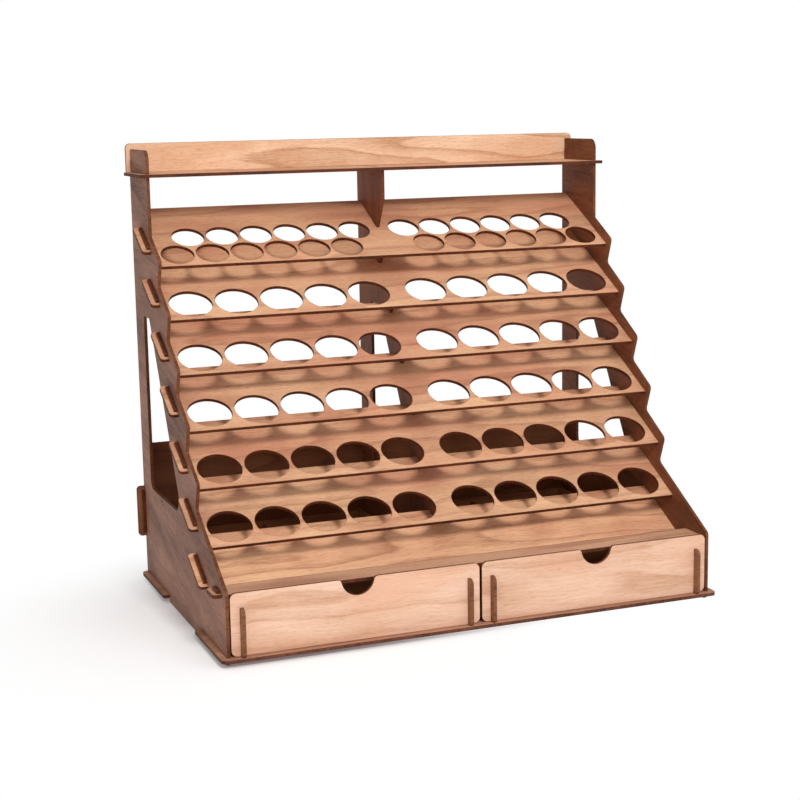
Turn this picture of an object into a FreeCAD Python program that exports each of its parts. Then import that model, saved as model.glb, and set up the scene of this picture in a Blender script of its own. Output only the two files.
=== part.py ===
# Hobby workstation organizer: a stepped rack of laser cut plywood for paint pots and
# dropper bottles, with a top shelf and two drawers. Every piece is a flat sheet that
# slots into its neighbours, and wedge keys lock the through tabs outside the sides.
# Millimetres, +X to the right, +Y to the back, +Z up, origin below the middle of the base.
import FreeCAD, Part
import os
import re

import Sketcher

SIZES = {
    # sheet stock and fits
    "ply": 2.5,
    "fit": 0.1,
    "tab_reach": 6.4,
    "tab_round": 3.0,
    # paint pot holes
    "pot_bore": 34.0,
    "pot_web": 2.6,
    "pot_middle_web": 15.1,
    "pot_rim": 3.8,
    "pot_margin": 4.45,
    # dropper bottle holes
    "bottle_bore": 26.0,
    "bottle_web": 1.9,
    "bottle_middle_web": 17.3,
    "bottle_rim": 3.0,
    "bottle_row_gap": 24.2,
    "bottle_margin": 4.2,
    # tiers
    "slope": 28.0,
    "tier_run": 82.0,
    "step_run": 22.6,
    "step_rise": 38.8,
    "tier_depth": 78.0,
    "second_tier_depth": 102.0,
    "top_tier_depth": 85.5,
    "tab_length": 36.5,
    # sloping work board and the ledge in front of it
    "work_gap": 1.24,
    "work_lift": 1.5,
    "work_start": 19.3,
    "work_shoulder": 2.1,
    "work_depth": 76.0,
    "ledge_headroom": 6.2,
    "ledge_gap": 13.95,
    "ledge_depth": 24.0,
    "ledge_setback": 6.5,
    "ledge_tab_inset": 2.0,
    # base plate and feet
    "base_margin": 6.0,
    "base_round": 5.0,
    "ear_reach": 5.0,
    "ear_round": 1.5,
    "rear_ear": 77.0,
    "tongue_length": 96.0,
    "foot_height": 3.5,
    "foot_length": 12.0,
    "foot_inset": 1.5,
    "foot_round": 1.0,
    # side panels
    "nose_rise": 3.0,
    "nose_round": 4.0,
    "upright_depth": 58.0,
    "upright_rise": 20.9,
    "upright_round": 8.0,
    "tooth_reach": 5.5,
    "tooth_rise": 4.4,
    "tooth_round": 3.5,
    "valley_run": 2.2,
    "valley_drop": 15.9,
    # large window of the side panels and the centre divider
    "leg_width": 27.5,
    "window_sill": 76.5,
    "window_crest": 19.0,
    "window_web": 60.9,
    "window_heel_round": 9.0,
    "window_round": 3.0,
    "window_toe_round": 11.0,
    # centre divider
    "divider_setback": 2.0,
    "divider_nose": 22.6,
    "divider_lap": 15.0,
    "divider_second_lap": 39.0,
    "divider_top_lap": 43.2,
    "divider_rise": 43.6,
    "divider_tenon_length": 30.0,
    "divider_tenon_inset": 60.0,
    # back panel
    "back_height": 108.5,
    "back_tab_rise": 31.0,
    "back_tab_length": 42.0,
    "back_tenon_start": 60.0,
    "back_tenon_length": 40.0,
    # top shelf and rail
    "shelf_rise": 69.3,
    "shelf_guard": 18.2,
    "shelf_reach": 5.4,
    "shelf_overhang": 4.0,
    "shelf_lap": 30.0,
    "shelf_tenon_rear": 15.0,
    "shelf_tenon_length": 30.0,
    "rail_height": 22.9,
    "rail_reach": 3.7,
    "rail_margin": 2.0,
    "rail_round": 4.0,
    "rail_lap": 9.0,
    "rail_tenon_start": 80.0,
    "rail_tenon_length": 30.0,
    # wedge keys
    "key_margin": 3.5,
    "key_stand": 2.5,
    "key_bite": 0.5,
    "key_round": 1.0,
    # drawers
    "slide_gap": 0.3,
    "face_gap": 1.0,
    "face_side_gap": 0.8,
    "face_rise": 11.0,
    "face_round": 4.5,
    "grip_bore": 25.4,
    "grip_round": 3.0,
    "side_inset": 7.0,
    "side_height": 35.0,
    "side_nose": 5.5,
    "side_nose_round": 4.5,
    "side_heel_round": 2.5,
    "side_rear_gap": 4.0,
    "side_tail": 3.0,
    "floor_tab_length": 25.0,
    "floor_tab_inset": 45.0,
    "joint_margin": 9.0,
    "partition_drop": 4.0,
    "cross_setback": 38.0,
}

POTS_PER_SIDE = 5
BOTTLES_PER_SIDE = 6
POT_TIERS = 5
TOOTH_COUNT = 5

document = FreeCAD.newDocument("organizer")
sheet = document.addObject("Spreadsheet::Sheet", "Sizes")
for row, (alias, number) in enumerate(SIZES.items(), start=1):
    sheet.set(f"A{row}", alias)
    sheet.set(f"B{row}", str(number))
    sheet.setAlias(f"B{row}", alias)
document.recompute()

# Lengths that several pieces share, written as expressions of the sizes above.
# The rows of holes set the width, and the drawers and tiers stack up to the height.
POT_PITCH = "(pot_bore + pot_web)"
POT_GAP = "(pot_bore + pot_middle_web)"
POT_EDGE = "(pot_bore / 2 + pot_rim)"
POT_HALF = f"({POT_GAP} / 2 + {POTS_PER_SIDE - 1} * {POT_PITCH} + pot_bore / 2 + pot_margin)"
BOTTLE_PITCH = "(bottle_bore + bottle_web)"
BOTTLE_REAR_GAP = "(bottle_bore + bottle_middle_web)"
BOTTLE_FRONT_GAP = f"({BOTTLE_REAR_GAP} + {BOTTLE_PITCH})"
BOTTLE_FRONT_EDGE = "(bottle_bore / 2 + bottle_rim)"
BOTTLE_REAR_EDGE = f"({BOTTLE_FRONT_EDGE} + bottle_row_gap)"
BOTTLE_HALF = (
    f"({BOTTLE_FRONT_GAP} / 2 + {BOTTLES_PER_SIDE - 1} * {BOTTLE_PITCH} + bottle_bore / 2 + bottle_margin)"
)
HALF = f"max({POT_HALF}; {BOTTLE_HALF})"
OUTER = f"({HALF} + ply)"
REACH = f"({OUTER} + tab_reach)"
EAR_END = f"({OUTER} + ear_reach)"
WING_END = f"({OUTER} + shelf_reach)"
TIERS_RUN = f"(tier_run + {POT_TIERS + 1} * step_run)"
LEDGE_RUN = "(ledge_gap + ledge_depth + ledge_setback - work_start * cos(slope))"
REAR = f"(({TIERS_RUN} + {LEDGE_RUN} + base_margin) / 2)"
FRONT = f"(base_margin - {REAR})"
BACK_FACE = f"({REAR} - ply)"
UPRIGHT_FRONT = f"({REAR} - upright_depth)"
TONGUE_REAR = f"({REAR} - rear_ear)"
TONGUE_FRONT = f"({TONGUE_REAR} - tongue_length)"
TIER_REAR = f"({REAR} - tier_run)"
TAB_START = "(work_start + work_shoulder)"
TAB_END = f"({TAB_START} + tab_length)"
LEDGE_FRONT = f"({FRONT} + ledge_setback)"
LEDGE_REAR = f"({LEDGE_FRONT} + ledge_depth)"
LEDGE_TAB_REAR = f"({LEDGE_REAR} - ledge_tab_inset)"
LEDGE_TAB_FRONT = f"({LEDGE_FRONT} + ledge_tab_inset)"
SHELF_LAP_END = f"({UPRIGHT_FRONT} + shelf_lap)"
RAIL_REAR = f"({REAR} - rail_margin)"
RAIL_FRONT = f"({RAIL_REAR} - ply)"
RAIL_TENON_END = "(rail_tenon_start + rail_tenon_length)"
FLOOR = "(foot_height + ply)"
DRAWER_BOTTOM = f"({FLOOR} + slide_gap)"
SIDE_TOP = f"({DRAWER_BOTTOM} + side_height)"
LEDGE_BOTTOM = f"({SIDE_TOP} + ledge_headroom)"
LEDGE_TOP = f"({LEDGE_BOTTOM} + ply)"
WORK_HEIGHT = f"({SIDE_TOP} + work_gap + ply * cos(slope) - work_start * sin(slope))"
TIER_HEIGHT = f"({WORK_HEIGHT} - work_lift + {POT_TIERS + 1} * step_rise)"
SHELF_TOP = f"({TIER_HEIGHT} + shelf_rise)"
SHELF_BOTTOM = f"({SHELF_TOP} - ply)"
PANEL_TOP = f"({SHELF_TOP} + shelf_guard)"
RAIL_TOP = f"({SHELF_TOP} + rail_height)"
RAIL_LAP_TOP = f"({SHELF_TOP} + rail_lap)"
BACK_TOP = f"({FLOOR} + back_height)"
BACK_TAB_FLOOR = f"({FLOOR} + back_tab_rise)"
BACK_TAB_TOP = f"({BACK_TAB_FLOOR} + back_tab_length)"


def in_sheet(text):
    # A size's name becomes a reference to its cell.
    return re.sub(r"[a-z][a-z_]*", lambda word: f"Sizes.{word[0]}" if word[0] in SIZES else word[0], text)


def value(text):
    return float(sheet.evalExpression(in_sheet(text)))


def on_slope(anchor, along, up):
    # A point of the side view, given along and square to a board that slopes up from its anchor.
    y, z = anchor
    return (
        f"({y} + ({along}) * cos(slope) - ({up}) * sin(slope))",
        f"({z} + ({along}) * sin(slope) + ({up}) * cos(slope))",
    )


def tier_anchor(tier):
    # Top front edge of a tier, counted from the top one.
    return f"({TIER_REAR} - {tier} * step_run)", f"({TIER_HEIGHT} - {tier} * step_rise)"


def work_anchor():
    # The work board lies in the row of the tiers, one step in front of the last one.
    return tier_anchor(POT_TIERS + 1)[0], WORK_HEIGHT


def rectangle(left, right, bottom, top, *rounding):
    return [(x, y, *rounding) for x, y in ((left, bottom), (right, bottom), (right, top), (left, top))]


def loose(low, high):
    # Both ends of a slot, which clears by the fit what lies between low and high.
    return f"({low} - fit)", f"({high} + fit)"


def mirrored(points):
    # The same points on the other side of x = 0, in reverse, so that an outline stays closed.
    return [(f"(0 - {point[0]})", *point[1:]) for point in reversed(points)]


def bind(sketch, kind, geometry, vertex, text):
    if kind == "Diameter":
        constraint = Sketcher.Constraint(kind, geometry, value(text))
    else:
        constraint = Sketcher.Constraint(kind, -1, 1, geometry, vertex, value(text))
    index = sketch.addConstraint(constraint)
    sketch.setExpression(f"Constraints[{index}]", in_sheet(text))


def draw_loop(sketch, points):
    # A closed loop of straight lines whose corners are held at their two distances.
    corners = [FreeCAD.Vector(value(point[0]), value(point[1]), 0) for point in points]
    first = sketch.GeometryCount
    count = len(points)
    for number in range(count):
        sketch.addGeometry(Part.LineSegment(corners[number], corners[(number + 1) % count]), False)
    for number in range(count):
        joined = first + (number + 1) % count
        sketch.addConstraint(Sketcher.Constraint("Coincident", first + number, 2, joined, 1))
    for number, point in enumerate(points):
        bind(sketch, "DistanceX", first + number, 1, point[0])
        bind(sketch, "DistanceY", first + number, 1, point[1])


def draw_circle(sketch, x, y, diameter):
    centre = FreeCAD.Vector(value(x), value(y), 0)
    circle = sketch.addGeometry(Part.Circle(centre, FreeCAD.Vector(0, 0, 1), value(diameter) / 2), False)
    bind(sketch, "Diameter", circle, 0, diameter)
    bind(sketch, "DistanceX", circle, 3, x)
    bind(sketch, "DistanceY", circle, 3, y)


def new_sketch(body, name):
    plane = next(part for part in body.Origin.OriginFeatures if part.Role == "XY_Plane")
    sketch = body.newObject("Sketcher::SketchObject", name)
    sketch.AttachmentSupport = (plane, "")
    sketch.MapMode = "FlatFace"
    return sketch


def round_corners(body, label, points):
    # One fillet for each radius, on the upright edges that stand at the given points.
    for radius in sorted({point[2] for point in points if len(point) == 3}):
        wanted = [(value(point[0]), value(point[1])) for point in points if point[2:] == (radius,)]
        base = body.Tip
        names = []
        for number, edge in enumerate(base.Shape.Edges, start=1):
            start, end = edge.firstVertex().Point, edge.lastVertex().Point
            upright = abs(start.x - end.x) + abs(start.y - end.y) < 1e-4 < abs(start.z - end.z)
            if upright and any(abs(start.x - x) + abs(start.y - y) < 1e-3 for x, y in wanted):
                names.append(f"Edge{number}")
        fillet = body.newObject("PartDesign::Fillet", f"{label}_{radius}")
        fillet.Base = (base, names)
        fillet.setExpression("Radius", in_sheet(radius))
        document.recompute()


# How a sheet's own axes lie in the whole: flat, standing along the width, or standing along the depth.
FLAT = FreeCAD.Rotation()
ACROSS = FreeCAD.Rotation(FreeCAD.Vector(1, 0, 0), 90)
ALONG = FreeCAD.Rotation(FreeCAD.Vector(1, 1, 1), 120)


def cut_sheet(label, rotation, position, outline, windows=(), circles=(), lips=()):
    # A sheet cut to an outline with windows in it, padded by its thickness, then bored and rounded.
    body = document.addObject("PartDesign::Body", label)
    body.AllowCompound = True
    body.Label = label
    sketch = new_sketch(body, f"{label}_outline")
    for loop in (outline, *windows):
        draw_loop(sketch, loop)
    pad = body.newObject("PartDesign::Pad", f"{label}_pad")
    pad.Profile = sketch
    pad.setExpression("Length", in_sheet("ply"))
    sketch.Visibility = False
    document.recompute()
    if circles:
        full = body.Shape.Volume
        bores = new_sketch(body, f"{label}_bores")
        for circle in circles:
            draw_circle(bores, *circle)
        pocket = body.newObject("PartDesign::Pocket", f"{label}_pocket")
        pocket.Profile = bores
        pocket.Type = "ThroughAll"
        pocket.Reversed = True
        document.recompute()
        if body.Shape.Volume >= full:
            raise RuntimeError(f"{label}: the bores cut nothing")
    round_corners(body, label, [point for loop in (outline, *windows) for point in loop])
    round_corners(body, f"{label}_lip", lips)
    body.Placement = FreeCAD.Placement(FreeCAD.Vector(), rotation)
    for axis, text in zip("xyz", position):
        body.setExpression(f"Placement.Base.{axis}", in_sheet(text))
    return body


def tip_up(body):
    # A sloping board turns about its front edge.
    tilt = FreeCAD.Rotation(FreeCAD.Vector(1, 0, 0), value("slope"))
    body.Placement = FreeCAD.Placement(body.Placement.Base, tilt)
    body.setExpression("Placement.Rotation.Angle", in_sheet("slope"))


def foot(start):
    # A foot goes down through the base, from its front end at start.
    end = f"({start} + foot_length)"
    return [(end, FLOOR), (end, "0", "foot_round"), (start, "0", "foot_round"), (start, FLOOR)]


REAR_FOOT = f"({REAR} - foot_inset - foot_length)"
FRONT_FOOT = f"({FRONT} + foot_inset)"


def window_corners():
    # The large window, with a rear leg behind it and a slanted front side along the tiers.
    leg = f"({REAR} - leg_width)"
    crest_edge = f"({leg} - window_crest)"
    front_edge = f"({TIER_REAR} + window_web)"
    sill = f"({FLOOR} + window_sill)"
    crest = f"({TIER_HEIGHT} - ({front_edge} - {crest_edge}) * step_rise / step_run)"
    return [
        (leg, sill, "window_heel_round"),
        (leg, crest, "window_round"),
        (crest_edge, crest, "window_round"),
        (f"({front_edge} - ({TIER_HEIGHT} - {sill}) * step_run / step_rise)", sill, "window_toe_round"),
    ]


def tab_slot(anchor):
    # The slot that a sloping board's tab goes through.
    corners = rectangle(*loose(TAB_START, TAB_END), *loose("(0 - ply)", "0"))
    return [on_slope(anchor, along, up) for along, up in corners]


def saw_teeth():
    # From the lowest valley up to the highest tip.
    points = []
    for tier in reversed(range(TOOTH_COUNT)):
        y, z = tier_anchor(tier)
        points.append((f"({y} + valley_run)", f"({z} - valley_drop)", "tooth_round"))
        points.append((f"({y} - tooth_reach)", f"({z} + tooth_rise)", "tooth_round"))
    return points


def side_panel(label, inner_face):
    outline = [
        (REAR, FLOOR),
        *foot(REAR_FOOT),
        (TONGUE_REAR, FLOOR),
        (TONGUE_REAR, "0"),
        (TONGUE_FRONT, "0"),
        (TONGUE_FRONT, FLOOR),
        *foot(FRONT_FOOT),
        (FRONT, FLOOR),
        (FRONT, f"({LEDGE_TOP} + nose_rise)", "nose_round"),
        *saw_teeth(),
        (UPRIGHT_FRONT, f"({TIER_HEIGHT} + upright_rise)"),
        (UPRIGHT_FRONT, f"({SHELF_BOTTOM} - fit)"),
        (SHELF_LAP_END, f"({SHELF_BOTTOM} - fit)"),
        (SHELF_LAP_END, f"({SHELF_TOP} + fit)"),
        (UPRIGHT_FRONT, f"({SHELF_TOP} + fit)"),
        (UPRIGHT_FRONT, PANEL_TOP, "upright_round"),
        (f"({RAIL_FRONT} - fit)", PANEL_TOP),
        (f"({RAIL_FRONT} - fit)", RAIL_LAP_TOP),
        (f"({RAIL_REAR} + fit)", RAIL_LAP_TOP),
        (f"({RAIL_REAR} + fit)", PANEL_TOP),
        (REAR, PANEL_TOP),
        (REAR, f"({BACK_TAB_TOP} + fit)"),
        (f"({BACK_FACE} - fit)", f"({BACK_TAB_TOP} + fit)"),
        (f"({BACK_FACE} - fit)", f"({BACK_TAB_FLOOR} - fit)"),
        (REAR, f"({BACK_TAB_FLOOR} - fit)"),
    ]
    anchors = [tier_anchor(tier) for tier in range(POT_TIERS + 1)] + [work_anchor()]
    ledge_slot = rectangle(*loose(LEDGE_TAB_FRONT, LEDGE_TAB_REAR), *loose(LEDGE_BOTTOM, LEDGE_TOP))
    windows = [window_corners(), ledge_slot, *(tab_slot(anchor) for anchor in anchors)]
    return cut_sheet(label, ALONG, (inner_face, "0", "0"), outline, windows)


def divider_tenon(end):
    # A tenon of the centre divider in the base, from its rear end at end.
    start = f"({end} - divider_tenon_length)"
    return [(end, FLOOR), (end, "foot_height"), (start, "foot_height"), (start, FLOOR)]


MIDDLE = ("(0 - ply / 2)", "(ply / 2)")
REAR_TENON = f"({REAR} - divider_tenon_inset)"
FRONT_TENON = f"({FRONT} + divider_tenon_inset + divider_tenon_length)"


def divider_slot(depth, lap="divider_lap"):
    # Where the slot in a board's rear half begins, and the tip of the divider that enters it.
    return f"({depth} - {lap})"


# Depth and divider slot of each tier board from the top: the second runs back under the
# bottle holes, as the floor that the rear row of bottles stands on.
TIERS = [
    ("top_tier_depth", divider_slot("top_tier_depth", "divider_top_lap")),
    ("second_tier_depth", divider_slot("second_tier_depth", "divider_second_lap")),
    *[("tier_depth", divider_slot("tier_depth"))] * (POT_TIERS - 1),
]
WORK_SLOT = divider_slot("work_depth")


def divider_steps():
    # Under each board to its slot, up through the slot to the board's face, from the work board up.
    points = [
        on_slope(work_anchor(), "work_start", "(0 - ply)"),
        on_slope(work_anchor(), WORK_SLOT, "(0 - ply)"),
        on_slope(work_anchor(), WORK_SLOT, "0"),
    ]
    for tier in reversed(range(POT_TIERS + 1)):
        slot = TIERS[tier][1]
        anchor = tier_anchor(tier)
        points.append(on_slope(anchor, "divider_nose", "(0 - ply)"))
        points.append(on_slope(anchor, slot, "(0 - ply)"))
        points.append(on_slope(anchor, slot, "0"))
    return points


def centre_divider():
    front = f"({FRONT} + ply + divider_setback)"
    shelf_tenon = f"({REAR} - shelf_tenon_rear)"
    outline = [
        (BACK_FACE, FLOOR),
        *divider_tenon(REAR_TENON),
        *divider_tenon(FRONT_TENON),
        (front, FLOOR),
        (front, LEDGE_BOTTOM),
        (LEDGE_REAR, LEDGE_BOTTOM),
        *divider_steps(),
        (UPRIGHT_FRONT, f"({TIER_HEIGHT} + divider_rise)"),
        (UPRIGHT_FRONT, SHELF_BOTTOM),
        (f"({shelf_tenon} - shelf_tenon_length)", SHELF_BOTTOM),
        (f"({shelf_tenon} - shelf_tenon_length)", SHELF_TOP),
        (shelf_tenon, SHELF_TOP),
        (shelf_tenon, SHELF_BOTTOM),
        (REAR, SHELF_BOTTOM),
        (REAR, BACK_TOP),
        (BACK_FACE, BACK_TOP),
        (BACK_FACE, BACK_TAB_TOP),
        (REAR, BACK_TAB_TOP),
        (REAR, BACK_TAB_FLOOR),
        (BACK_FACE, BACK_TAB_FLOOR),
    ]
    return cut_sheet("centre_divider", ALONG, ("(0 - ply / 2)", "0", "0"), outline, [window_corners()])


def base_plate():
    edge = [
        (EAR_END, f"(0 - {REAR})", "base_round"),
        (EAR_END, f"({TONGUE_FRONT} - fit)", "ear_round"),
        (HALF, f"({TONGUE_FRONT} - fit)"),
        (HALF, f"({TONGUE_REAR} + fit)"),
        (EAR_END, f"({TONGUE_REAR} + fit)", "ear_round"),
        (EAR_END, REAR, "base_round"),
        ("(back_tenon_start + back_tenon_length + fit)", REAR),
        ("(back_tenon_start + back_tenon_length + fit)", f"({BACK_FACE} - fit)"),
        ("(back_tenon_start - fit)", f"({BACK_FACE} - fit)"),
        ("(back_tenon_start - fit)", REAR),
    ]
    windows = []
    for start in (REAR_FOOT, FRONT_FOOT):
        slot = rectangle(*loose(HALF, OUTER), *loose(start, f"({start} + foot_length)"))
        windows.extend((slot, mirrored(slot)))
    for end in (REAR_TENON, FRONT_TENON):
        windows.append(rectangle(*loose(*MIDDLE), *loose(f"({end} - divider_tenon_length)", end)))
    return cut_sheet("base_plate", FLAT, ("0", "0", "foot_height"), edge + mirrored(edge), windows)


def key_slot(start, end):
    # The slot in a through tab, just outside the side panel, that a wedge key goes into.
    near = f"({OUTER} - key_bite)"
    far = f"({OUTER} + ply + fit)"
    slot = rectangle(near, far, f"({start} + key_margin - fit)", f"({end} - key_margin + fit)")
    return [slot, mirrored(slot)]


def tabbed_edge(start, tab_start, tab_end, end):
    # The right hand edge of a board, with the tab that goes out through the side panel.
    return [
        (HALF, start),
        (HALF, tab_start),
        (REACH, tab_start, "tab_round"),
        (REACH, tab_end, "tab_round"),
        (HALF, tab_end),
        (HALF, end),
    ]


def sloping_board(label, anchor, start, depth, slot, circles):
    slot_side = "(ply / 2 + fit)"
    edge = [
        *tabbed_edge(start, TAB_START, TAB_END, depth),
        (slot_side, depth),
        (slot_side, f"({slot} - fit)"),
    ]
    lowered = on_slope(anchor, "0", "(0 - ply)")
    windows = key_slot(TAB_START, TAB_END)
    body = cut_sheet(label, FLAT, ("0", *lowered), edge + mirrored(edge), windows, circles)
    tip_up(body)
    return body


def hole_row(count, gap, pitch, edge, bore):
    # A row of holes that starts half a gap from the middle and runs outwards on both sides.
    places = [f"({gap} / 2 + {number} * {pitch})" for number in range(count)]
    return [(f"({sign} * {place})", edge, bore) for sign in (-1, 1) for place in places]


def tier_boards():
    bottles = hole_row(BOTTLES_PER_SIDE, BOTTLE_REAR_GAP, BOTTLE_PITCH, BOTTLE_REAR_EDGE, "bottle_bore")
    bottles += hole_row(BOTTLES_PER_SIDE, BOTTLE_FRONT_GAP, BOTTLE_PITCH, BOTTLE_FRONT_EDGE, "bottle_bore")
    pots = hole_row(POTS_PER_SIDE, POT_GAP, POT_PITCH, POT_EDGE, "pot_bore")
    rows = [bottles] + [pots] * POT_TIERS
    boards = []
    for tier, (size, circles) in enumerate(zip(TIERS, rows)):
        label = f"tier_board_{tier + 1}"
        boards.append(sloping_board(label, tier_anchor(tier), "0", *size, circles))
    return boards


def work_board():
    return sloping_board("work_board", work_anchor(), "work_start", "work_depth", WORK_SLOT, ())


def drawer_bay_ledge():
    edge = tabbed_edge(LEDGE_FRONT, LEDGE_TAB_FRONT, LEDGE_TAB_REAR, LEDGE_REAR)
    windows = key_slot(LEDGE_TAB_FRONT, LEDGE_TAB_REAR)
    return cut_sheet("drawer_bay_ledge", FLAT, ("0", "0", LEDGE_BOTTOM), edge + mirrored(edge), windows)


def back_panel():
    edge = tabbed_edge(FLOOR, BACK_TAB_FLOOR, BACK_TAB_TOP, BACK_TOP)
    tenon = [
        ("back_tenon_start", FLOOR),
        ("back_tenon_start", "foot_height"),
        ("(back_tenon_start + back_tenon_length)", "foot_height"),
        ("(back_tenon_start + back_tenon_length)", FLOOR),
    ]
    outline = tenon + edge + mirrored(tenon + edge)
    tenon_slot = rectangle(*loose(*MIDDLE), *loose(BACK_TAB_FLOOR, BACK_TAB_TOP))
    windows = [tenon_slot, *key_slot(BACK_TAB_FLOOR, BACK_TAB_TOP)]
    return cut_sheet("back_panel", ACROSS, ("0", REAR, "0"), outline, windows)


def top_shelf():
    edge = [
        (WING_END, f"({UPRIGHT_FRONT} - shelf_overhang)", "tab_round"),
        (WING_END, REAR, "tab_round"),
        (f"({OUTER} + fit)", REAR),
        (f"({OUTER} + fit)", SHELF_LAP_END),
        (f"({HALF} - fit)", SHELF_LAP_END),
        (f"({HALF} - fit)", REAR),
    ]
    tenon_end = f"({REAR} - shelf_tenon_rear)"
    tenon_slot = rectangle(*loose(*MIDDLE), *loose(f"({tenon_end} - shelf_tenon_length)", tenon_end))
    rail_slot = rectangle(*loose("rail_tenon_start", RAIL_TENON_END), *loose(RAIL_FRONT, RAIL_REAR))
    windows = [tenon_slot, rail_slot, mirrored(rail_slot)]
    return cut_sheet("top_shelf", FLAT, ("0", "0", SHELF_BOTTOM), edge + mirrored(edge), windows)


def top_rail():
    end = f"({OUTER} + rail_reach)"
    edge = [
        ("rail_tenon_start", SHELF_TOP),
        ("rail_tenon_start", SHELF_BOTTOM),
        (RAIL_TENON_END, SHELF_BOTTOM),
        (RAIL_TENON_END, SHELF_TOP),
        (f"({HALF} - fit)", SHELF_TOP),
        (f"({HALF} - fit)", RAIL_LAP_TOP),
        (f"({OUTER} + fit)", RAIL_LAP_TOP),
        (f"({OUTER} + fit)", SHELF_TOP),
        (end, SHELF_TOP),
        (end, RAIL_TOP, "rail_round"),
    ]
    return cut_sheet("top_rail", ACROSS, ("0", RAIL_REAR, "0"), edge + mirrored(edge))


def wedge_keys(label, inner_face):
    # One key for each through tab on a side: it stands in the tab's slot against the panel.
    start = f"({TAB_START} + key_margin)"
    end = f"({TAB_END} - key_margin)"
    keys = []
    for anchor in [tier_anchor(tier) for tier in range(POT_TIERS + 1)] + [work_anchor()]:
        low = [on_slope(anchor, along, "(0 - ply)") for along in (start, end)]
        high = [(*on_slope(anchor, along, "key_stand"), "key_round") for along in (end, start)]
        keys.append(low + high)
    ledge_start = f"({LEDGE_TAB_FRONT} + key_margin)"
    ledge_end = f"({LEDGE_TAB_REAR} - key_margin)"
    keys.append([
        (ledge_start, LEDGE_BOTTOM),
        (ledge_end, LEDGE_BOTTOM),
        (ledge_end, f"({LEDGE_TOP} + key_stand)", "key_round"),
        (ledge_start, f"({LEDGE_TOP} + key_stand)", "key_round"),
    ])
    keys.append([
        (REAR, f"({BACK_TAB_FLOOR} + key_margin)"),
        (REAR, f"({BACK_TAB_TOP} - key_margin)"),
        (f"({BACK_FACE} - key_stand)", f"({BACK_TAB_TOP} - key_margin)", "key_round"),
        (f"({BACK_FACE} - key_stand)", f"({BACK_TAB_FLOOR} + key_margin)", "key_round"),
    ])
    return cut_sheet(label, ALONG, (inner_face, "0", "0"), keys[0], keys[1:])


# Drawer: distances from the middle of the rack, the drawer's own rear ends and heights.
FACE_TOP = f"({SIDE_TOP} + face_rise)"
FACE_REAR = f"({FRONT} + ply)"
NEAR_SIDE = "(face_gap + side_inset)"
FAR_SIDE = f"({HALF} - face_side_gap - side_inset - ply)"
SIDE_REAR = f"({BACK_FACE} - side_rear_gap)"
DRAWER_BACK_REAR = f"({SIDE_REAR} - side_tail)"
DRAWER_BACK_FRONT = f"({SIDE_REAR} - side_tail - ply)"
JOINT_FLOOR = f"({DRAWER_BOTTOM} + joint_margin)"
JOINT_TOP = f"({SIDE_TOP} - joint_margin)"
CROSS_FRONT = f"({FACE_REAR} + cross_setback)"
CROSS_REAR = f"({FACE_REAR} + cross_setback + ply)"
PARTITION_TOP = f"({SIDE_TOP} - partition_drop)"
PARTITION_FLOOR = f"({DRAWER_BOTTOM} + ply)"
PARTITION_HALFWAY = f"(({PARTITION_TOP} + {PARTITION_FLOOR}) / 2)"
DRAWER_MIDDLE = f"(({NEAR_SIDE} + {FAR_SIDE} + ply) / 2)"
PARTITION_SLOT = loose(f"({DRAWER_MIDDLE} - ply / 2)", f"({DRAWER_MIDDLE} + ply / 2)")
FLOOR_TAB_STARTS = (
    f"({FACE_REAR} + floor_tab_inset)",
    f"({DRAWER_BACK_FRONT} - floor_tab_inset - floor_tab_length)",
)


def turned(points, sign):
    # A drawer piece drawn for the right hand drawer, or mirrored for the left hand one.
    return points if sign > 0 else mirrored(points)


def drawer_face(label, sign):
    left = "face_gap"
    right = f"({HALF} - face_side_gap)"
    outline = [(left, DRAWER_BOTTOM, "face_round")]
    slot_top = f"({SIDE_TOP} + fit)"
    for side in (NEAR_SIDE, FAR_SIDE):
        low, high = loose(side, f"({side} + ply)")
        outline.extend([(low, DRAWER_BOTTOM), (low, slot_top), (high, slot_top), (high, DRAWER_BOTTOM)])
    outline.extend([
        (right, DRAWER_BOTTOM, "face_round"),
        (right, FACE_TOP, "face_round"),
        (left, FACE_TOP, "face_round"),
    ])
    grip = [(f"({sign} * {DRAWER_MIDDLE})", FACE_TOP, "grip_bore")]
    lips = [(f"({sign} * {DRAWER_MIDDLE} {way} grip_bore / 2)", FACE_TOP, "grip_round") for way in "+-"]
    return cut_sheet(label, ACROSS, ("0", FACE_REAR, "0"), turned(outline, sign), (), grip, lips)


def drawer_side(label, inner_face):
    nose = f"({FRONT} - side_nose)"
    outline = [(nose, DRAWER_BOTTOM, "side_heel_round")]
    slot_top = f"({PARTITION_FLOOR} + fit)"
    for start in FLOOR_TAB_STARTS:
        low, high = loose(start, f"({start} + floor_tab_length)")
        outline.extend([(low, DRAWER_BOTTOM), (low, slot_top), (high, slot_top), (high, DRAWER_BOTTOM)])
    outline.extend([
        (SIDE_REAR, DRAWER_BOTTOM),
        (SIDE_REAR, SIDE_TOP),
        (nose, SIDE_TOP, "side_nose_round"),
    ])
    joints = ((CROSS_FRONT, CROSS_REAR), (DRAWER_BACK_FRONT, DRAWER_BACK_REAR))
    windows = [rectangle(*loose(*joint), *loose(JOINT_FLOOR, JOINT_TOP)) for joint in joints]
    return cut_sheet(label, ALONG, (inner_face, "0", "0"), outline, windows)


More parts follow.
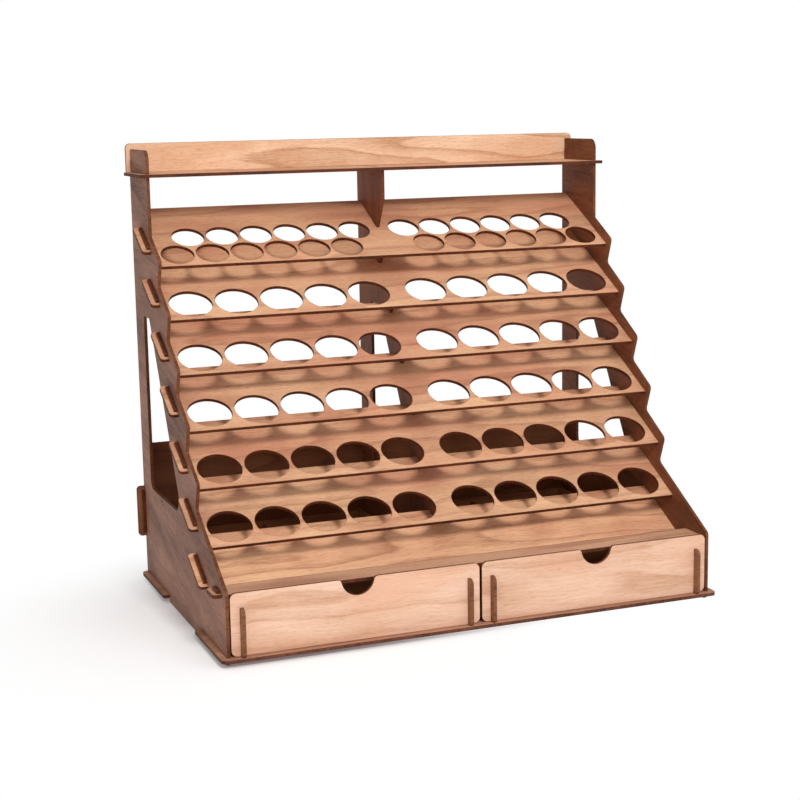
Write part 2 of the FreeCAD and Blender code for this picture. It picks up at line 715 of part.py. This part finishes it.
def drawer_floor(label, sign):
    near = f"({NEAR_SIDE} + ply)"
    right_edge = [(FAR_SIDE, FACE_REAR)]
    left_edge = [(near, DRAWER_BACK_FRONT)]
    for start in FLOOR_TAB_STARTS:
        end = f"({start} + floor_tab_length)"
        outer = f"({FAR_SIDE} + ply)"
        right_edge.extend([(FAR_SIDE, start), (outer, start), (outer, end), (FAR_SIDE, end)])
    for start in reversed(FLOOR_TAB_STARTS):
        end = f"({start} + floor_tab_length)"
        left_edge.extend([(near, end), (NEAR_SIDE, end), (NEAR_SIDE, start), (near, start)])
    outline = [(near, FACE_REAR), *right_edge, (FAR_SIDE, DRAWER_BACK_FRONT), *left_edge]
    return cut_sheet(label, FLAT, ("0", "0", DRAWER_BOTTOM), turned(outline, sign))


def jointed_crosspiece(bottom, top, notch=()):
    # A crosspiece between the drawer sides, with a tab through each and a notch in its lower edge.
    return [
        (f"({NEAR_SIDE} + ply)", bottom),
        *notch,
        (FAR_SIDE, bottom),
        (FAR_SIDE, JOINT_FLOOR),
        (f"({FAR_SIDE} + ply)", JOINT_FLOOR),
        (f"({FAR_SIDE} + ply)", JOINT_TOP),
        (FAR_SIDE, JOINT_TOP),
        (FAR_SIDE, top),
        (f"({NEAR_SIDE} + ply)", top),
        (f"({NEAR_SIDE} + ply)", JOINT_TOP),
        (NEAR_SIDE, JOINT_TOP),
        (NEAR_SIDE, JOINT_FLOOR),
        (f"({NEAR_SIDE} + ply)", JOINT_FLOOR),
    ]


def drawer_back(label, sign):
    outline = jointed_crosspiece(DRAWER_BOTTOM, SIDE_TOP)
    slot = rectangle(*PARTITION_SLOT, *loose(JOINT_FLOOR, JOINT_TOP))
    return cut_sheet(label, ACROSS, ("0", DRAWER_BACK_REAR, "0"), turned(outline, sign), [turned(slot, sign)])


def drawer_cross(label, sign):
    low, high = PARTITION_SLOT
    notch = [
        (low, PARTITION_FLOOR),
        (low, PARTITION_HALFWAY),
        (high, PARTITION_HALFWAY),
        (high, PARTITION_FLOOR),
    ]
    outline = jointed_crosspiece(PARTITION_FLOOR, PARTITION_TOP, notch)
    return cut_sheet(label, ACROSS, ("0", CROSS_REAR, "0"), turned(outline, sign))


def drawer_partition(label, sign):
    outline = [
        (FACE_REAR, PARTITION_FLOOR),
        (DRAWER_BACK_FRONT, PARTITION_FLOOR),
        (DRAWER_BACK_FRONT, JOINT_FLOOR),
        (DRAWER_BACK_REAR, JOINT_FLOOR),
        (DRAWER_BACK_REAR, JOINT_TOP),
        (DRAWER_BACK_FRONT, JOINT_TOP),
        (DRAWER_BACK_FRONT, PARTITION_TOP),
        (f"({CROSS_REAR} + fit)", PARTITION_TOP),
        (f"({CROSS_REAR} + fit)", PARTITION_HALFWAY),
        (f"({CROSS_FRONT} - fit)", PARTITION_HALFWAY),
        (f"({CROSS_FRONT} - fit)", PARTITION_TOP),
        (FACE_REAR, PARTITION_TOP),
    ]
    return cut_sheet(label, ALONG, (f"({sign} * {DRAWER_MIDDLE} - ply / 2)", "0", "0"), outline)


def drawer(name, sign):
    near = NEAR_SIDE if sign > 0 else f"(0 - {NEAR_SIDE} - ply)"
    far = FAR_SIDE if sign > 0 else f"(0 - {FAR_SIDE} - ply)"
    return [
        drawer_face(f"{name}_face", sign),
        drawer_side(f"{name}_inner_side", near),
        drawer_side(f"{name}_outer_side", far),
        drawer_floor(f"{name}_floor", sign),
        drawer_back(f"{name}_back", sign),
        drawer_cross(f"{name}_cross_partition", sign),
        drawer_partition(f"{name}_long_partition", sign),
    ]


def write_parts(pieces):
    document.recompute()
    for item in document.Objects:
        if "Invalid" in item.State or "Error" in item.State:
            raise RuntimeError(f"{item.Name} failed: {item.State}")
    for piece in pieces:
        if piece.Shape.isNull() or not piece.Shape.isValid():
            raise RuntimeError(f"{piece.Label} has no valid shape")
    os.makedirs("parts", exist_ok=True)
    for piece in pieces:
        piece.Shape.exportStep(f"parts/{piece.Label}.step")
        print(f"{piece.Label}: {len(piece.Shape.Solids)} solids, {piece.Shape.Volume / 1000:.2f} cm3")


write_parts([
    base_plate(),
    side_panel("side_panel_left", f"(0 - {OUTER})"),
    side_panel("side_panel_right", HALF),
    centre_divider(),
    back_panel(),
    *tier_boards(),
    work_board(),
    drawer_bay_ledge(),
    top_shelf(),
    top_rail(),
    wedge_keys("keys_left", f"(0 - {OUTER} - ply)"),
    wedge_keys("keys_right", OUTER),
    *drawer("left_drawer", -1),
    *drawer("right_drawer", 1),
])
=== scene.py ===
import math

import bpy
import numpy as np
from mathutils import Matrix, Vector

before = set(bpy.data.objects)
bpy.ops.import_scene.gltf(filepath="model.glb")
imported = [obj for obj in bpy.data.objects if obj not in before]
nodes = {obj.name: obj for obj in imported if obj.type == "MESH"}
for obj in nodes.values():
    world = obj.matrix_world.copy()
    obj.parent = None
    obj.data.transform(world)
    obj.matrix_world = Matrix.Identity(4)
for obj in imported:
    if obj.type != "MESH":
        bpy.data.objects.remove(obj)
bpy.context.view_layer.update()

print("frame loaded:", len(nodes), "pieces of plywood")


def hexColour(text):
    # sRGB hex turned to linear
    srgb = np.array([int(text[i:i + 2], 16) for i in (1, 3, 5)]) / 255
    linear = np.where(srgb <= 0.04045, srgb / 12.92, ((srgb + 0.055) / 1.055) ** 2.4)
    return (*linear.tolist(), 1.0)


def addNode(tree, kind, settings):
    # a shader node with its settings: attributes, inputs by name or place, and what feeds them
    # (a socket, or a node, which stands for its first output in use); a hex text is a colour
    node = tree.nodes.new("ShaderNode" + kind)
    for key, value in settings.items():
        if isinstance(value, bpy.types.Node):
            value = next(socket for socket in value.outputs if socket.enabled)
        if isinstance(value, str) and value.startswith("#"):
            value = hexColour(value)
        if isinstance(key, int):
            socket = node.inputs[key]
        else:
            socket = next((one for one in node.inputs if one.enabled and one.name == key), None)
        if isinstance(value, bpy.types.NodeSocket):
            tree.links.new(value, socket)
        elif socket:
            socket.default_value = value
        else:
            setattr(node, key, value)
    return node


# Rotary cut birch plywood under a warm brown water stain: soft rings, fine fibre, short dark pores
# and cloudy uptake, matt. The laser leaves browned faces beside a cut and a dark striped edge.
plywood = {
    # noises of the veneer and the cuts: length, width and depth in mm, detail, roughness, and whether
    # the grain's wander bends them; real pores are finer than the flecks, which are as coarse as shows
    "noises": {
        "height": (260.0, 40.0, 400.0, 1.0, 0.35, True),
        "fibres": (26.0, 0.9, 8.0, 3.0, 0.6, True),
        "flecks": (5.0, 0.75, 8.0, 1.0, 0.5, False),
        "clouds": (120.0, 30.0, 200.0, 3.0, 0.55, True),
        "blushes": (80.0, 34.0, 90.0, 2.0, 0.5, True),
        "char": (1.5, 1.5, 14.0, 2.0, 0.6, False),
        "soot": (20.0, 20.0, 20.0, 2.0, 0.5, False),
    },
    # between which values of its noise each one goes from unseen to full
    "spans": {"fibres": (0.30, 0.70), "clouds": (0.32, 0.70), "flecks": (0.50, 0.74),
              "blushes": (0.42, 0.68), "char": (0.32, 0.68), "soot": (0.32, 0.68)},
    "wanderSize": 60.0, "wanderDetail": 2.0,                         # mm
    "wander": (34.0, 10.0, 0.0),                                     # mm along, across and through the sheet
    "figureRings": 6.0, "ragged": 0.055,                             # rings over the height, torn by fibres
    "ringFall": 0.93, "ringCurve": 2.6,                              # where a ring ends, how late it darkens
    "blushShare": 0.68,
    "log": 4000.0,                                                   # mm over which the sheets are picked
    "thickness": 2.5, "plyCount": 3,                                 # mm, veneers in a sheet
    "stripes": 0.35, "edgeShares": {"char": 0.45, "soot": 0.40},     # what charring on a cut edge is made of
    "edgeFrom": 0.75, "edgeTo": 0.65,                                # how far a face turns to be a cut edge
    "burnFrom": 0.998, "burnTo": 0.80,                               # the same for browning beside a cut
    "easing": 0.00025, "bevelRays": {"easing": 4, "burn": 6},        # m of sanded arris
    "roughness": 0.56, "roughSpan": 0.16,
    "poreDepth": -0.6, "relief": 0.22, "reliefHeight": 0.0003,       # m
    "ior": 1.47, "gloss": 0.3,
}

slope = math.radians(28)
grainTilt = math.radians(10)
quarter = math.pi / 2
lays = {
    # how a sheet lies: the turn that brings its grain to x and its width to y, and its faces' normal
    "flat": ((0, 0, 0), (0, 0, 1)),
    "sloping": ((-slope, 0, 0), (0, -math.sin(slope), math.cos(slope))),
    "across": ((-quarter, 0, 0), (0, 1, 0)),
    "upright": ((0, quarter, 0), (1, 0, 0)),
    "lengthwise": ((-quarter, -quarter, 0), (1, 0, 0)),
    "tilted": ((-quarter, -quarter, -grainTilt), (1, 0, 0)),
}


def stainedPly(name, lay, finish, seed):
    # face = light, blushed in patches, to dark by ring * rings + fibres + clouds + flecks, each by
    # its share, where rings are a slow rise and a quick fall of a wandering height, repeated;
    # cut edge = browned to charred by stripes through the thickness and soot along it;
    # the face is browned towards charred within the finish's reach of a cut
    material = bpy.data.materials.new(name)
    material.use_nodes = True
    tree = material.node_tree
    tree.nodes.clear()
    turn, normal = lays[lay]
    shift = tuple((np.random.default_rng(seed).random(3) * plywood["log"]).tolist())
    place = addNode(tree, "TexCoord", {})
    grain = addNode(tree, "Mapping", {
        "Vector": place.outputs["Object"], "Scale": (1000, 1000, 1000), "Rotation": turn, "Location": shift})

    wander = addNode(tree, "TexNoise", {
        "Vector": grain, "Scale": 1 / plywood["wanderSize"], "Detail": plywood["wanderDetail"]})
    centred = addNode(tree, "VectorMath", {
        "operation": "SUBTRACT", 0: wander.outputs["Color"], 1: (0.5, 0.5, 0.5)})
    pushed = addNode(tree, "VectorMath", {
        "operation": "MULTIPLY_ADD", 0: centred, 1: plywood["wander"], 2: grain})

    noises = {}
    for key, (long, wide, deep, detail, rough, bent) in plywood["noises"].items():
        scaled = addNode(tree, "Mapping", {
            "Vector": pushed if bent else grain, "Scale": (1 / long, 1 / wide, 1 / deep)})
        noises[key] = addNode(tree, "TexNoise", {
            "Vector": scaled, "Scale": 1.0, "Detail": detail, "Roughness": rough})

    # each noise that is seen, from none to full
    shown = {}
    for key, (low, high) in plywood["spans"].items():
        shown[key] = addNode(tree, "MapRange", {"Value": noises[key], "From Min": low, "From Max": high})

    ragged = addNode(tree, "Math", {
        "operation": "MULTIPLY_ADD", 0: noises["fibres"], 1: plywood["ragged"], 2: noises["height"]})
    turns = addNode(tree, "Math", {"operation": "MULTIPLY", 0: ragged, 1: plywood["figureRings"]})
    saw = addNode(tree, "Math", {"operation": "FRACT", 0: turns})
    rise = addNode(tree, "MapRange", {"Value": saw, "From Max": plywood["ringFall"]})
    fall = addNode(tree, "MapRange", {
        "Value": saw, "From Min": plywood["ringFall"], "To Min": 1.0, "To Max": 0.0})
    swell = addNode(tree, "Math", {"operation": "POWER", 0: rise, 1: plywood["ringCurve"]})
    rings = addNode(tree, "Math", {"operation": "MULTIPLY", 0: swell, 1: fall})

    amount = addNode(tree, "Math", {"operation": "MULTIPLY", 0: rings, 1: finish["ring"]})
    for key in ("fibres", "clouds", "flecks"):
        amount = addNode(tree, "Math", {
            "operation": "MULTIPLY_ADD", 0: shown[key], 1: finish[key], 2: amount, "use_clamp": True})
    blush = addNode(tree, "Math", {"operation": "MULTIPLY", 0: shown["blushes"], 1: plywood["blushShare"]})
    pale = addNode(tree, "Mix", {
        "data_type": "RGBA", "Factor": blush, "A": finish["light"], "B": finish["blush"]})
    faceColour = addNode(tree, "Mix", {
        "data_type": "RGBA", "Factor": amount, "A": pale, "B": finish["dark"]})

    # the true normal tells an edge from a face, and the rounded one how near a cut is
    near = addNode(tree, "Bevel", {"samples": plywood["bevelRays"]["burn"], "Radius": finish["reach"]})
    facing = []
    for source in (place.outputs["Normal"], near):
        dot = addNode(tree, "VectorMath", {"operation": "DOT_PRODUCT", 0: source, 1: normal})
        facing.append(addNode(tree, "Math", {"operation": "ABSOLUTE", 0: dot}))
    isEdge = addNode(tree, "MapRange", {
        "Value": facing[0], "From Min": plywood["edgeFrom"], "From Max": plywood["edgeTo"]})
    burn = addNode(tree, "MapRange", {
        "Value": facing[1], "From Min": plywood["burnFrom"], "From Max": plywood["burnTo"],
        "To Max": finish["burn"]})

    # plies show on a cut edge as stripes along it, each with its own shade
    layer = addNode(tree, "SeparateXYZ", {0: grain})
    perMillimetre = 2 * math.pi * plywood["plyCount"] / plywood["thickness"]
    phase = addNode(tree, "Math", {"operation": "MULTIPLY", 0: layer.outputs["Z"], 1: perMillimetre})
    plies = addNode(tree, "Math", {"operation": "SINE", 0: phase})
    charred = addNode(tree, "MapRange", {"Value": plies, "From Min": -1.0, "To Max": plywood["stripes"]})
    for key, share in plywood["edgeShares"].items():
        charred = addNode(tree, "Math", {
            "operation": "MULTIPLY_ADD", 0: shown[key], 1: share, 2: charred, "use_clamp": True})
    edgeColour = addNode(tree, "Mix", {
        "data_type": "RGBA", "Factor": charred, "A": finish["edge"], "B": finish["deep"]})
    browned = addNode(tree, "Mix", {
        "data_type": "RGBA", "Factor": burn, "A": faceColour, "B": finish["deep"]})
    colour = addNode(tree, "Mix", {"data_type": "RGBA", "Factor": isEdge, "A": browned, "B": edgeColour})

    roughness = addNode(tree, "Math", {
        "operation": "MULTIPLY_ADD", 0: noises["fibres"], 1: plywood["roughSpan"], 2: plywood["roughness"]})
    relief = addNode(tree, "Math", {
        "operation": "MULTIPLY_ADD", 0: noises["flecks"], 1: plywood["poreDepth"], 2: noises["fibres"]})
    eased = addNode(tree, "Bevel", {"samples": plywood["bevelRays"]["easing"], "Radius": plywood["easing"]})
    bump = addNode(tree, "Bump", {
        "Strength": plywood["relief"], "Distance": plywood["reliefHeight"], "Height": relief, "Normal": eased})
    shader = addNode(tree, "BsdfPrincipled", {
        "Base Color": colour, "Roughness": roughness, "Normal": bump,
        "IOR": plywood["ior"], "Specular IOR Level": plywood["gloss"]})
    addNode(tree, "OutputMaterial", {"Surface": shader})
    return material


# light, dark and blush of the stained veneer, browned and charred tone of a cut, how strongly
# rings, fibres, clouds and flecks show, and how strongly and far (m) a face is browned beside a cut
board = {"light": "#e1b38b", "dark": "#96634a", "blush": "#cf8c6e", "edge": "#733209", "deep": "#300e01",
         "ring": 0.36, "fibres": 0.26, "clouds": 0.24, "flecks": 0.26, "burn": 0.6, "reach": 0.001}
finishes = {
    "board": board,
    "deeperBoard": {**board, "light": "#dfaf88", "dark": "#935f46", "blush": "#c98367"},
    "palerBoard": {**board, "light": "#ecbb92", "dark": "#a56f50", "blush": "#d99878", "ring": 0.48},
    "ledge": {**board, "light": "#cf9f7f", "dark": "#8b5b43", "blush": "#bb8068", "burn": 0.8, "reach": 0.003},
    "base": {**board, "light": "#be8c70", "dark": "#7d5039", "blush": "#a8745c", "edge": "#7a4a36"},
    "rail": {**board, "light": "#f4d0af", "dark": "#ab744d", "blush": "#dca680", "ring": 0.48, "flecks": 0.28},
    "outerPanel": {**board, "light": "#b98870", "dark": "#5f3c2d", "blush": "#9a6a58",
                   "edge": "#8a4f2a", "deep": "#42200c", "ring": 0.16,
                   "fibres": 0.34, "clouds": 0.55, "flecks": 0.36},
    # a darker copy of the outer panel's colours: painted shade on the right panel's inner face and the centre
    # divider, which the lamps barely reach
    "panelWithPaintedShade": {**board, "light": "#a3643f", "dark": "#562f1a", "blush": "#8a4e34",
                   "edge": "#84461f", "deep": "#3c1a08", "ring": 0.16,
                   "fibres": 0.34, "clouds": 0.55, "flecks": 0.36},
    # a darker copy of the board's colours: painted shade for the back panel and the drawer floors, backs and
    # partitions inside the rack
    "innerWithPaintedShade": {**board, "light": "#a46b45", "dark": "#613722", "blush": "#865137"},
    "bar": {**board, "light": "#ad7854", "dark": "#70442e", "blush": "#8c5a42",
            "edge": "#996541", "deep": "#4f2c18"},
    "face": {**board, "light": "#ebc7af", "dark": "#b98868", "blush": "#dfac90",
             "edge": "#8a5a3c", "deep": "#5a341f", "ring": 0.34, "fibres": 0.26, "clouds": 0.38,
             "flecks": 0.22, "burn": 0.25},
    "key": {**board, "light": "#92593a", "dark": "#542c18", "blush": "#7c452c", "fibres": 0.5, "burn": 1.0,
            "reach": 0.0014},
}
pieces = {
    "base_plate": ("base", "flat"), "top_shelf": ("board", "flat"), "drawer_bay_ledge": ("ledge", "flat"),
    # the back panel takes the darker inner finish, which carries painted shade
    "back_panel": ("innerWithPaintedShade", "across"), "top_rail": ("rail", "across"), "work_board": ("palerBoard", "sloping"),
    # the right panel and the centre divider take the darker panel finish, which carries painted shade
    "side_panel_left": ("outerPanel", "tilted"), "side_panel_right": ("panelWithPaintedShade", "tilted"),
    "centre_divider": ("panelWithPaintedShade", "upright"),
    "keys_left": ("key", "lengthwise"), "keys_right": ("key", "lengthwise"),
    **{f"tier_board_{tier}": ("board", "sloping") for tier in (2, 6)},
    **{f"tier_board_{tier}": ("deeperBoard", "sloping") for tier in (1, 3, 4, 5)},
}
# the drawer floors, backs and partitions take the darker inner finish, which carries painted shade
for side in ("left", "right"):
    pieces[f"{side}_drawer_face"] = ("face", "across")
    pieces[f"{side}_drawer_floor"] = ("innerWithPaintedShade", "flat")
    for part in ("inner_side", "outer_side"):
        pieces[f"{side}_drawer_{part}"] = ("bar", "lengthwise")
    pieces[f"{side}_drawer_long_partition"] = ("innerWithPaintedShade", "lengthwise")
    for part in ("back", "cross_partition"):
        pieces[f"{side}_drawer_{part}"] = ("innerWithPaintedShade", "across")

for seed, (node, (finish, lay)) in enumerate(pieces.items(), start=11):
    material = stainedPly(f"stainedBirchPly_{node}", lay, finishes[finish], seed)
    for slot in nodes[node].material_slots:
        slot.link = "OBJECT"
        slot.material = material
print("plywood stained:", len(pieces))


sweep = {
    "halfSize": 12.0, "below": -0.0002, "paper": "#fbfafa", "speck": "#efeded",
    "fibreScale": 900.0, "fibreDetail": 2.0,                # per m
    # where the rack's shade shows most, the share of plain white there, and between which
    # distances from there, in m, the rest of it comes in
    "shadeMiddle": (-0.15, -0.03, 0.0), "whiteNear": 0.12, "clearFrom": 0.08, "clearTo": 0.25,
}


def makeFloor():
    # matt white paper, near the rack a mix of its own shade and plain white, further off plain white
    half = sweep["halfSize"]
    corners = [(x, y, sweep["below"]) for x, y in ((-half, -half), (half, -half), (half, half), (-half, half))]
    mesh = bpy.data.meshes.new("studioSweep")
    mesh.from_pydata(corners, [], [(0, 1, 2, 3)])
    floor = bpy.data.objects.new("studioSweep", mesh)
    bpy.context.collection.objects.link(floor)
    material = bpy.data.materials.new("whitePaperSweep")
    material.use_nodes = True
    tree = material.node_tree
    tree.nodes.clear()
    spot = addNode(tree, "TexCoord", {}).outputs["Object"]
    distance = addNode(tree, "VectorMath", {"operation": "DISTANCE", 0: spot, 1: sweep["shadeMiddle"]})
    clear = addNode(tree, "MapRange", {
        "Value": distance, "From Min": sweep["clearFrom"], "From Max": sweep["clearTo"],
        "To Min": sweep["whiteNear"], "interpolation_type": "SMOOTHSTEP"})
    fibre = addNode(tree, "TexNoise", {
        "Vector": spot, "Scale": sweep["fibreScale"], "Detail": sweep["fibreDetail"]})
    paper = addNode(tree, "Mix", {
        "data_type": "RGBA", "Factor": fibre, "A": sweep["paper"], "B": sweep["speck"]})
    rays = addNode(tree, "LightPath", {})
    seen = addNode(tree, "Math", {
        "operation": "MAXIMUM", 0: rays.outputs["Is Camera Ray"], 1: rays.outputs["Is Glossy Ray"]})
    share = addNode(tree, "Math", {"operation": "MULTIPLY", 0: clear, 1: seen})
    matt = addNode(tree, "BsdfDiffuse", {"Color": paper})
    white = addNode(tree, "Emission", {"Color": (1, 1, 1, 1)})
    mixed = addNode(tree, "MixShader", {0: share, 1: matt, 2: white})
    addNode(tree, "OutputMaterial", {"Surface": mixed})
    mesh.materials.append(material)


room = {"tint": (1.0, 0.985, 0.97, 1.0), "level": 0.53}


def makeRoom():
    # an even room round the rack, which the camera sees as plain white
    world = bpy.data.worlds.new("studioRoom")
    world.use_nodes = True
    tree = world.node_tree
    tree.nodes.clear()
    rays = addNode(tree, "LightPath", {})
    seen = addNode(tree, "Math", {
        "operation": "MAXIMUM", 0: rays.outputs["Is Camera Ray"], 1: rays.outputs["Is Transmission Ray"]})
    even = addNode(tree, "Background", {"Color": room["tint"], "Strength": room["level"]})
    plain = addNode(tree, "Background", {"Color": (1, 1, 1, 1)})
    mixed = addNode(tree, "MixShader", {0: seen, 1: even, 2: plain})
    addNode(tree, "OutputWorld", {"Surface": mixed})
    bpy.context.scene.world = world


# softboxes: turned right of the front and raised by degrees, at a distance from what they light
lamps = {
    "keySoftbox": {"turn": -3, "rise": 38, "reach": 2.6, "aim": (0, 0, 0.15), "size": 0.66, "power": 45},
    "topSoftbox": {"turn": 40, "rise": 84, "reach": 2.5, "aim": (0, 0, 0.10), "size": 1.8, "power": 12},
}


def makeLamps():
    for name, lamp in lamps.items():
        turn, rise = math.radians(lamp["turn"]), math.radians(lamp["rise"])
        way = Vector((math.sin(turn) * math.cos(rise), -math.cos(turn) * math.cos(rise), math.sin(rise)))
        light = bpy.data.lights.new(name, "AREA")
        light.shape = "DISK"
        light.size = lamp["size"]
        light.energy = lamp["power"]
        holder = bpy.data.objects.new(name, light)
        holder.location = Vector(lamp["aim"]) + way * lamp["reach"]
        holder.rotation_euler = way.to_track_quat("Z", "Y").to_euler()
        bpy.context.collection.objects.link(holder)


makeFloor()
makeRoom()
makeLamps()
print("studio lit")

# where the camera stands in m, its turns in degrees, and its lens, sensor and clip distances
viewer = {
    "place": (-0.48244, -1.19413, 0.38491), "heading": 21.384, "dip": 10.11, "roll": -0.992,
    "lens": 74.2, "sensor": 36.0, "clipStart": 0.05, "clipEnd": 50.0,
}


def makeCamera():
    lens = bpy.data.cameras.new("studioCamera")
    lens.sensor_width = viewer["sensor"]
    lens.lens = viewer["lens"]
    lens.clip_start = viewer["clipStart"]
    lens.clip_end = viewer["clipEnd"]
    camera = bpy.data.objects.new("studioCamera", lens)
    turn = Matrix.Rotation(math.radians(-viewer["heading"]), 4, "Z")
    turn = turn @ Matrix.Rotation(math.radians(90 - viewer["dip"]), 4, "X")
    turn = turn @ Matrix.Rotation(math.radians(viewer["roll"]), 4, "Z")
    camera.matrix_world = Matrix.Translation(viewer["place"]) @ turn
    bpy.context.collection.objects.link(camera)
    bpy.context.scene.camera = camera


makeCamera()
bpy.context.scene.view_settings.view_transform = "Standard"
print("camera set")
